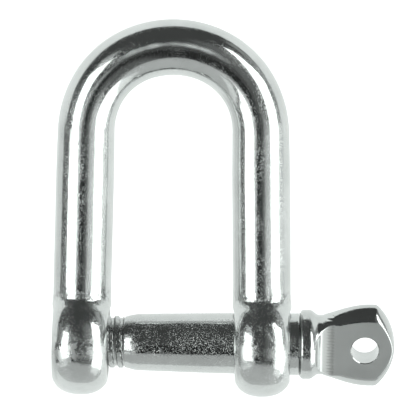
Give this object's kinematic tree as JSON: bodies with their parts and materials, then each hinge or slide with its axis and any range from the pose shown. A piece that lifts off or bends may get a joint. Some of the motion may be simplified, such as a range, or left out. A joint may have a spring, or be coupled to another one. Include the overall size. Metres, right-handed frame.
{
  "type": "screw-pin shackle",
  "caption": "D shackle in polished stainless steel: a U-shaped forging with round ears, closed by a screw pin with a collar and a flat eye.",
  "frame": {"origin": "on the screw pin's axis, midway between the two ears", "axes": "+X along the pin towards its head, +Z towards the crown, +Y out of the plane of the bow"},
  "size_m": [0.0594, 0.0184, 0.0653],
  "materials": {
    "body_steel": "polished",
    "shank_steel": "gloss",
    "thread_steel": "satin",
    "head_steel": "gloss"
  },
  "bodies": {
    "shackle": {"shackle_body": "body_steel"},
    "pin_carrier": {"pin_shank": "shank_steel"},
    "screw_pin": {"pin_thread": "thread_steel", "pin_head": "head_steel"}
  },
  "joints": [
    {"name": "pin_travel", "type": "slide", "parent": "shackle", "child": "pin_carrier", "axis": [1, 0, 0], "range_m": [-0.0013, 0.042]},
    {"name": "pin_turn", "type": "hinge", "parent": "pin_carrier", "child": "screw_pin", "pos_m": [0, 0, 0], "axis": [1, 0, 0], "range_deg": [-312, 10080]}
  ],
  "couplings": [
    {"joint": "pin_turn", "follows": "pin_travel", "rad_per_m": 4188.8}
  ]
}
